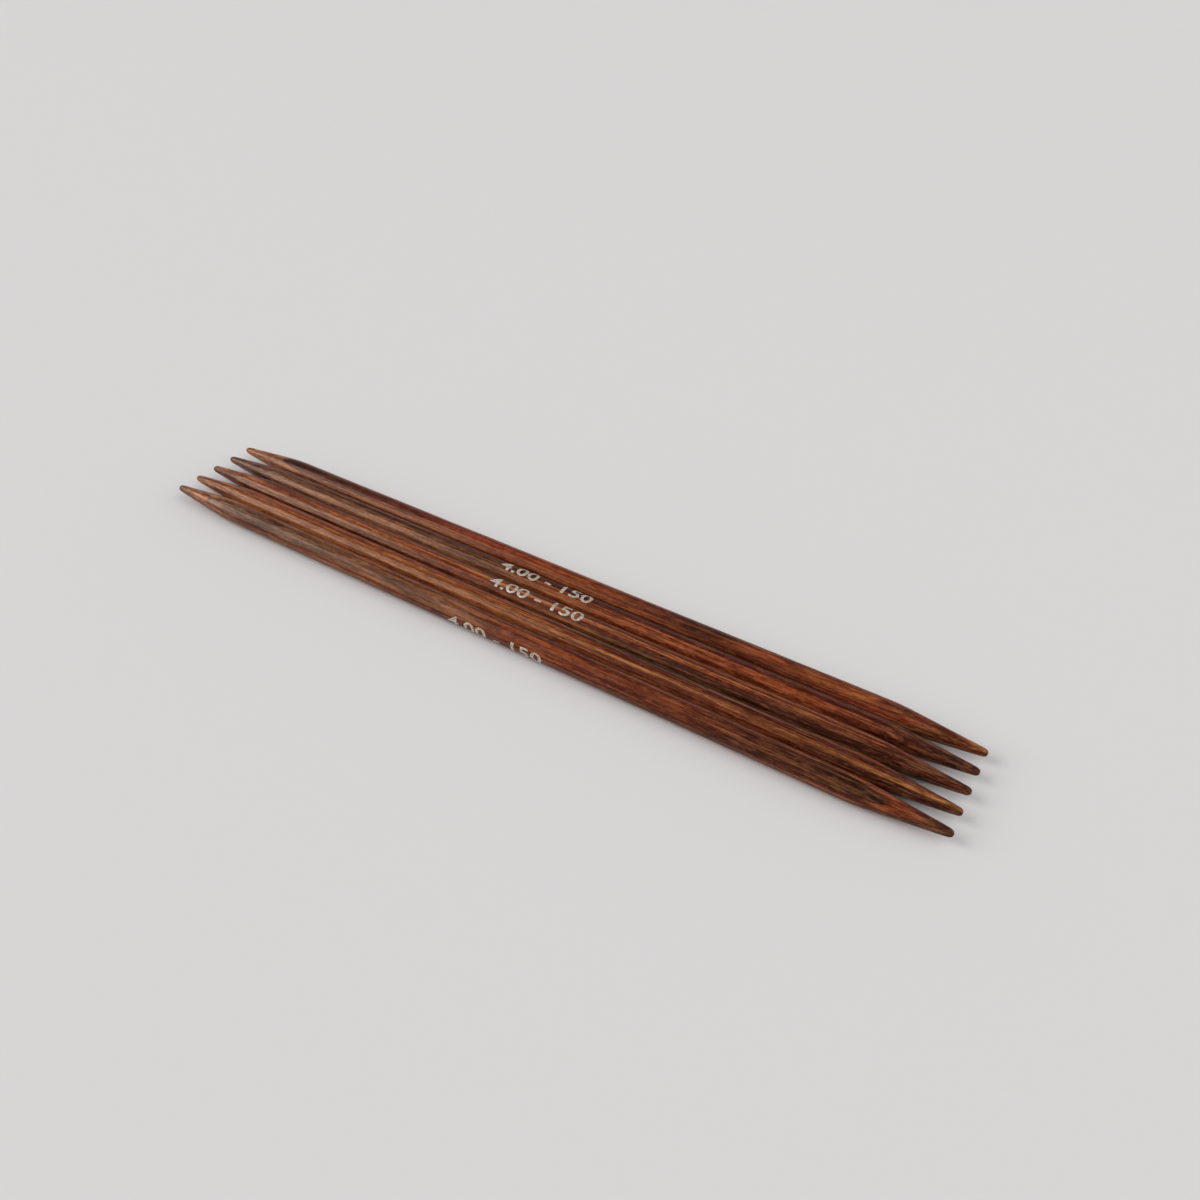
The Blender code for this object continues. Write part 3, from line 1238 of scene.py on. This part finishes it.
@dataclass(frozen=True)
class Studio:
    """Floor, light and camera of the picture.

    Attributes:
        eye: Place of the camera.
        yaw: Angle of the view from +y towards +x, in degrees.
        pitch: Angle of the view down from level, in degrees.
        roll: Turn of the camera about its view, in degrees.
        focal_pixels: Focal length in pixels of the photograph.
        frame_pixels: Width of the photograph in pixels.
        sensor_width: Width of the camera's sensor, in millimetres.
        clip: Nearest and farthest distance that the camera shows.
        floor_size: Length of the floor's sides.
        floor_drop: Distance of the floor below the needles.
        floor_color: Colour of the floor.
        floor_roughness: Roughness of the floor.
        floor_specular: Specular level of the floor.
        lamps: A window on the left and a wider fill on the right.
        sky: Light of the room from above.
        horizon: Light of the room from low down.
        horizon_range: Heights of a direction between which the horizon fades into the sky.
    """

    eye: Triple = (0.07599, -0.10347, 0.10831)
    yaw: float = -30.754
    pitch: float = 39.547
    roll: float = 1.720
    focal_pixels: float = 990.4
    frame_pixels: float = 1200.0
    sensor_width: float = 36.0
    clip: tuple[float, float] = (0.005, 20.0)
    floor_size: float = 6.0
    floor_drop: float = 0.00002
    floor_color: Color = linear(220, 219, 219)
    floor_roughness: float = 0.9
    floor_specular: float = 0.1
    lamps: tuple[Lamp, ...] = (
        Lamp("window_left", (-0.74, -0.42, 0.52), 1.9, 40.0, (1.0, 0.98, 0.97)),
        Lamp("fill_right", (0.75, 0.12, 0.65), 1.55, 75.0, (1.0, 0.99, 0.98)),
    )
    sky: Color = (0.27, 0.272, 0.276, 1.0)
    horizon: Color = (0.70, 0.69, 0.685, 1.0)
    horizon_range: tuple[float, float] = (0.1, 0.45)

    def camera(self) -> None:
        """Sets the camera at the photograph's viewing angle."""
        yaw, pitch, roll = (math.radians(angle) for angle in (self.yaw, self.pitch, self.roll))
        ahead = math.cos(pitch)
        forward = Vector((math.sin(yaw) * ahead, math.cos(yaw) * ahead, -math.sin(pitch)))
        level = Vector((math.cos(yaw), -math.sin(yaw), 0.0))
        above = level.cross(forward)
        right = level * math.cos(roll) + above * math.sin(roll)
        up = above * math.cos(roll) - level * math.sin(roll)
        lens = bpy.data.cameras.new("camera")
        lens.sensor_width = self.sensor_width
        lens.lens = self.focal_pixels / self.frame_pixels * lens.sensor_width
        lens.clip_start, lens.clip_end = self.clip
        camera = bpy.data.objects.new("camera", lens)
        bpy.context.scene.collection.objects.link(camera)
        turned = Matrix((right, up, -forward)).transposed().to_4x4()
        camera.matrix_world = Matrix.Translation(self.eye) @ turned
        bpy.context.scene.camera = camera

    def floor(self) -> None:
        """Lays the pale matt floor."""
        half = self.floor_size / 2
        corners = [(-half, -half), (half, -half), (half, half), (-half, half)]
        mesh = bpy.data.meshes.new("floor")
        mesh.from_pydata([(x, y, -self.floor_drop) for x, y in corners], [], [(0, 1, 2, 3)])
        floor = bpy.data.objects.new("floor", mesh)
        bpy.context.scene.collection.objects.link(floor)
        material, _, shader = new_material("pale_floor")
        shader.inputs["Base Color"].default_value = self.floor_color
        shader.inputs["Roughness"].default_value = self.floor_roughness
        shader.inputs["Specular IOR Level"].default_value = self.floor_specular
        mesh.materials.append(material)

    def light(self) -> None:
        """Lights the needles evenly from all round, and from the left as a window does."""
        for lamp in self.lamps:
            lamp.hang()
        world = bpy.data.worlds.new("room")
        world.use_nodes = True
        sheet = NodeSheet(world.node_tree)
        back = world.node_tree.nodes["Background"]
        toward = sheet.split(sheet.add("ShaderNodeTexCoord").outputs["Generated"])
        low_down = sheet.spread(toward[2], *self.horizon_range, 1.0, 0.0)
        sheet.feed(back.inputs["Color"], sheet.mix(low_down, self.sky, self.horizon))
        bpy.context.scene.world = world

    def set_up(self) -> None:
        """Makes the floor, the light and the camera."""
        self.floor()
        self.light()
        self.camera()
        bpy.context.scene.view_settings.view_transform = "Standard"


def veneer(*dyes: tuple[float, Dye], **values: float) -> VeneerFinish:
    """Shortens the writing of a veneer whose dye changes along its length."""
    return VeneerFinish(tuple(dyes), **values)


def needles() -> tuple[LaminatedNeedle, ...]:
    """Describes the five needles, from the front one to the back one.

    Returns:
        The needles of the row.
    """
    soot, umber, maroon, chestnut = Dye.SOOT, Dye.UMBER, Dye.MAROON, Dye.CHESTNUT
    orange, amber, ochre, tan = Dye.ORANGE, Dye.AMBER, Dye.OCHRE, Dye.TAN
    ash, olive, pewter, russet = Dye.ASH, Dye.OLIVE, Dye.PEWTER, Dye.RUSSET
    first = LaminatedNeedle(1, 34.0, 0.25, (
        veneer((0.0, maroon)),
        veneer((0.0, tan)),
        veneer((0.0, pewter), (0.1, ash), (0.8, chestnut), (1.0, umber)),
        veneer((0.0, pewter), (0.2, olive), (1.0, umber)),
        veneer((0.0, tan), (0.07, tan), (0.12, amber), (0.26, amber), (0.34, orange), (0.42, chestnut),
               (0.8, maroon), (0.88, chestnut), (0.94, orange), (0.965, chestnut), (0.98, umber), waver=0.05),
        veneer((0.0, pewter), (0.11, pewter), (0.16, umber), (0.2, pewter), (0.26, olive), (0.32, ash),
               (0.38, olive), (0.44, ash), (0.5, chestnut), (0.55, orange), (0.64, chestnut),
               (0.74, chestnut), (0.8, umber), (0.85, umber), (0.93, soot), streaks=0.85),
    ), PrintedMark(-0.0085, 0.0102, 128.0))
    second = LaminatedNeedle(2, -50.0, 0.0, (
        veneer((0.0, umber), (1.0, soot)),
        veneer((0.0, amber), (0.45, amber), (0.55, chestnut), (0.8, chestnut), (1.0, umber)),
        veneer((0.0, ochre), (0.2, tan), (0.4, tan), (0.5, amber), (0.62, chestnut), (0.78, chestnut),
               (0.88, umber)),
        veneer((0.0, tan), (0.36, tan), (0.5, ash), (0.62, ochre), (0.74, tan), (0.86, ochre), (1.0, ochre)),
        veneer((0.0, ochre), (0.1, amber), (0.5, amber), (0.62, chestnut), (0.75, maroon), (1.0, maroon)),
        veneer((0.0, orange), (0.3, orange), (0.4, chestnut), (0.55, chestnut), (0.62, umber), (0.8, umber),
               (0.92, chestnut)),
    ))
    third = LaminatedNeedle(3, -42.0, 0.3, (
        veneer((0.0, soot)),
        veneer((0.0, maroon), (0.4, umber), (0.7, soot), (1.0, soot)),
        veneer((0.0, ash), (0.3, ash), (0.4, orange), (0.5, amber), (0.6, olive), (0.72, umber),
               (0.9, maroon)),
        veneer((0.0, tan), (0.14, ash), (0.28, ash), (0.38, orange), (0.55, russet), (0.7, maroon),
               (0.9, umber)),
        veneer((0.0, tan), (0.12, orange), (0.28, amber), (0.4, amber), (0.5, tan), (0.62, tan),
               (0.72, amber), (0.88, chestnut)),
        veneer((0.0, maroon), (0.5, chestnut), (1.0, chestnut)),
    ), PrintedMark(-0.0070, 0.0115, 38.0))
    fourth = LaminatedNeedle(4, 44.0, -0.45, (
        veneer((0.0, maroon)),
        veneer((0.0, tan)),
        veneer((0.0, chestnut)),
        veneer((0.0, pewter), (0.1, ash), (0.3, maroon), (1.0, chestnut)),
        veneer((0.0, pewter), (0.08, maroon), (0.45, maroon), (0.6, soot), (1.0, umber)),
        veneer((0.0, olive), (0.45, umber), (0.6, maroon), (0.85, maroon), (0.95, umber), (1.0, maroon),
               streaks=0.7),
        veneer((0.0, pewter), (0.15, ash), (0.3, ash), (0.44, olive), (0.53, amber), (0.66, orange),
               (0.8, orange), (0.87, chestnut), (0.92, maroon), (1.0, umber), figure=0.5),
    ), PrintedMark(-0.0080, 0.0104, 27.0))
    fifth = LaminatedNeedle(5, 12.0, 0.58, (
        veneer((0.0, umber)),
        veneer((0.0, ochre)),
        veneer((0.0, maroon)),
        veneer((0.0, tan), (0.12, tan), (0.5, ash), (0.85, olive), (0.95, olive), (1.0, chestnut)),
        veneer((0.0, tan), (0.1, tan), (0.2, maroon), (0.5, maroon), (0.85, umber), (0.94, olive),
               (0.975, chestnut), (1.0, ochre), waver=0.1),
        veneer((0.0, tan), (0.12, ash), (0.22, tan), (0.35, tan), (0.44, orange), (0.5, amber),
               (0.63, orange), (0.7, maroon), (0.82, chestnut), (0.88, russet), (0.95, chestnut),
               (1.0, olive), streaks=0.75, figure=0.5),
        veneer((0.0, umber), (0.12, umber), (0.26, maroon), (0.4, russet), (0.52, orange), (0.62, chestnut),
               (0.7, umber), (0.76, orange), (0.8, chestnut), (0.86, amber), (0.9, chestnut), (0.95, olive),
               streaks=0.75, figure=0.6),
    ))
    return first, second, third, fourth, fifth


def main() -> None:
    """Dresses the needles and sets up the picture."""
    logging.basicConfig(level=logging.INFO, format="%(message)s")
    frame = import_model()
    slots = {part["node"]: part["material_slot"] for part in frame["record"]["subparts"]}
    shop = Workshop()
    for needle in needles():
        needle.dress(shop, slots)
    Studio().set_up()


if __name__ == "__main__":
    main()
